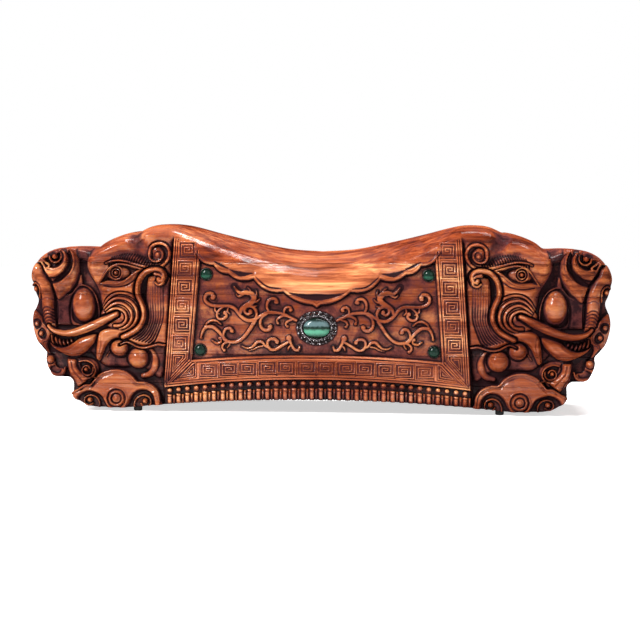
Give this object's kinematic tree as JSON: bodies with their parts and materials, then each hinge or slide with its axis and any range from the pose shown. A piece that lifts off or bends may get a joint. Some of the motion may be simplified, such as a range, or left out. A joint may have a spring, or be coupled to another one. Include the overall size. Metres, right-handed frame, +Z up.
{
  "type": "headrest",
  "caption": "Long carved wooden headrest with a saddle-shaped top, elephant-head ends and green domed stones set in the face, standing on stub feet.",
  "frame": {"origin": "middle of the footprint, on the surface that the feet stand on", "axes": "+X along the object, towards the right-hand elephant head; -Y is the front; +Z up"},
  "size_m": [0.44, 0.124, 0.143],
  "materials": {
    "wood": "polished, dark in the recesses",
    "silver": "darkened",
    "stone": "polished",
    "foot": "matte"
  },
  "bodies": {
    "root": {"base_board": "wood", "lower_board": "wood", "lower_middle_board": "wood", "upper_middle_board": "wood", "shoulder_board": "wood", "saddle_board": "wood", "front_centre_setting": "silver", "front_centre_stone": "stone", "front_upper_left_bezel": "silver", "front_upper_left_stone": "stone", "front_lower_left_bezel": "silver", "front_lower_left_stone": "stone", "front_left_foot": "foot", "front_upper_right_bezel": "silver", "front_upper_right_stone": "stone", "front_lower_right_bezel": "silver", "front_lower_right_stone": "stone", "front_right_foot": "foot", "back_centre_setting": "silver", "back_centre_stone": "stone", "back_upper_left_bezel": "silver", "back_upper_left_stone": "stone", "back_lower_left_bezel": "silver", "back_lower_left_stone": "stone", "back_left_foot": "foot", "back_upper_right_bezel": "silver", "back_upper_right_stone": "stone", "back_lower_right_bezel": "silver", "back_lower_right_stone": "stone", "back_right_foot": "foot"}
  },
  "joints": []
}
